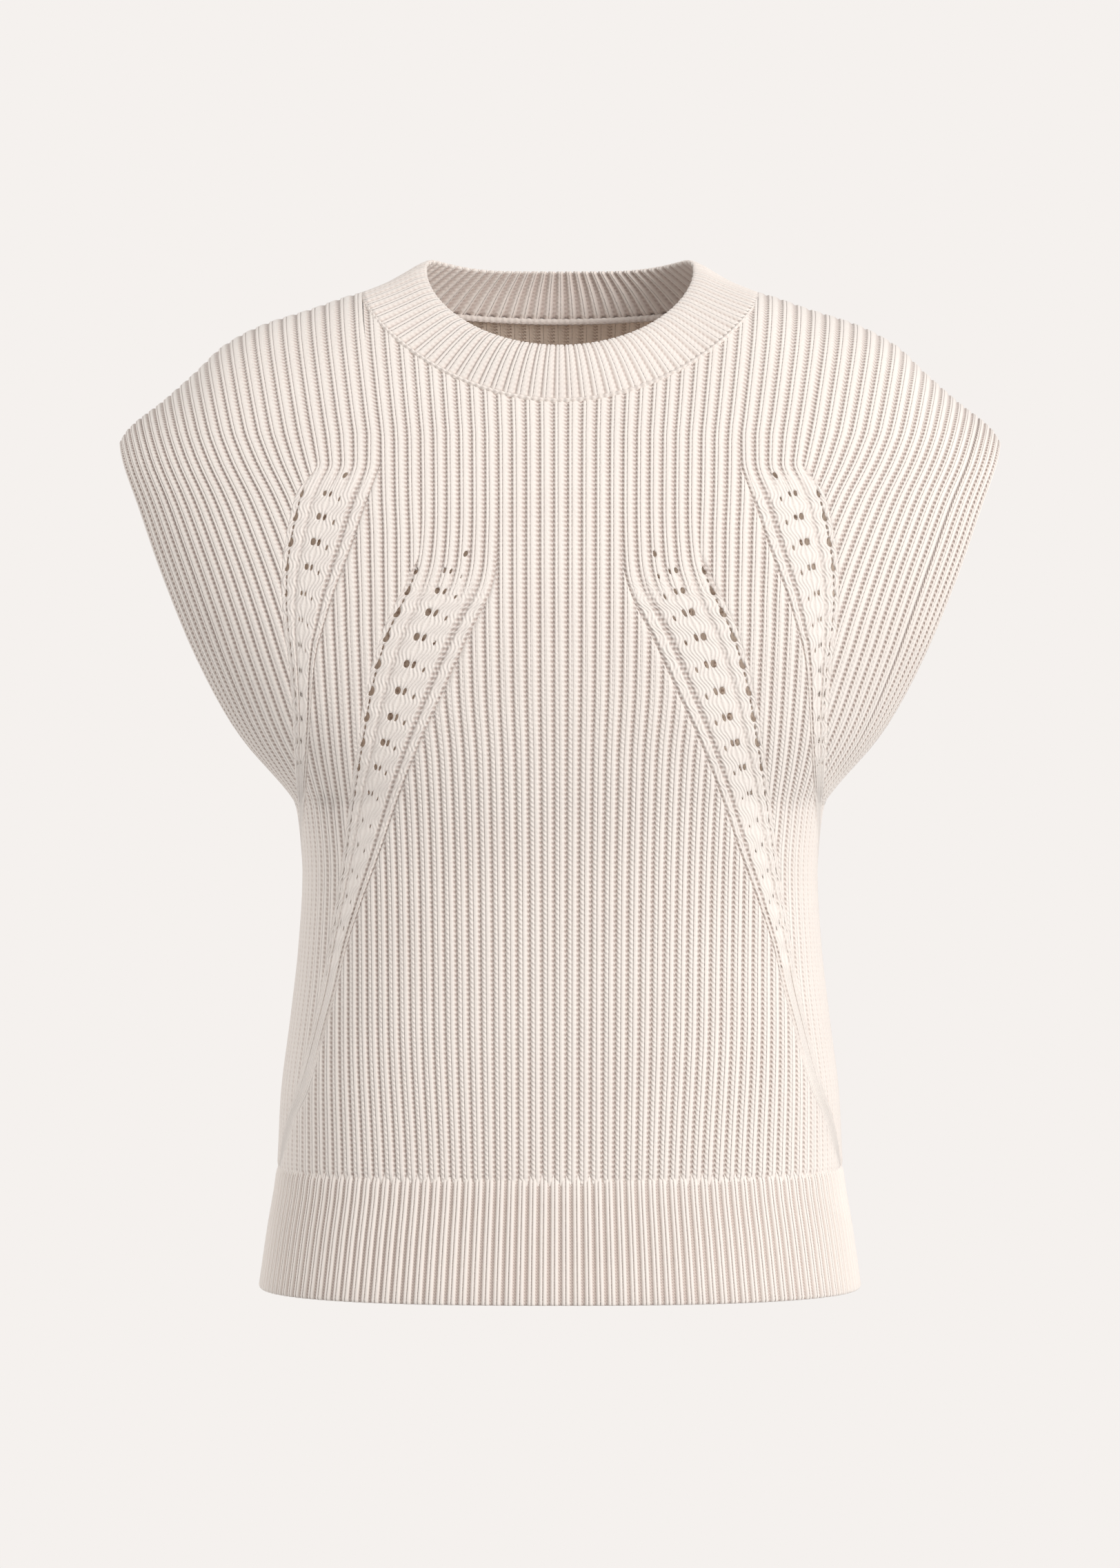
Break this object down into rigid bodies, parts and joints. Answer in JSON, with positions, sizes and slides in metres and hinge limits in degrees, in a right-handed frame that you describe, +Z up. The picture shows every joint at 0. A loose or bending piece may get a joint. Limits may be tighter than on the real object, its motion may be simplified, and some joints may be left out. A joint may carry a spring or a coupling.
{
  "type": "short-sleeve sweater",
  "caption": "Boxy crew-neck sweater in chunky rib knit, with cap sleeves knitted in one with the body, a ribbed neck band and hem, and lace darts on its front.",
  "frame": {"origin": "on the shoulder line, midway between the two sides of the neck, where the wearer's shoulders hold the garment", "axes": "+Z up along the body, +X to the right as seen from the front, -Y out of the front"},
  "size_m": [0.4618, 0.244, 0.54],
  "materials": {
    "body_knit": "cream cotton, half-cardigan rib knit",
    "band_knit": "cream cotton, close rib knit"
  },
  "bodies": {
    "root": {"front_panel": "body_knit", "back_panel": "body_knit", "neck_band": "band_knit", "hem_band_front": "band_knit", "hem_band_back": "band_knit"}
  },
  "joints": []
}
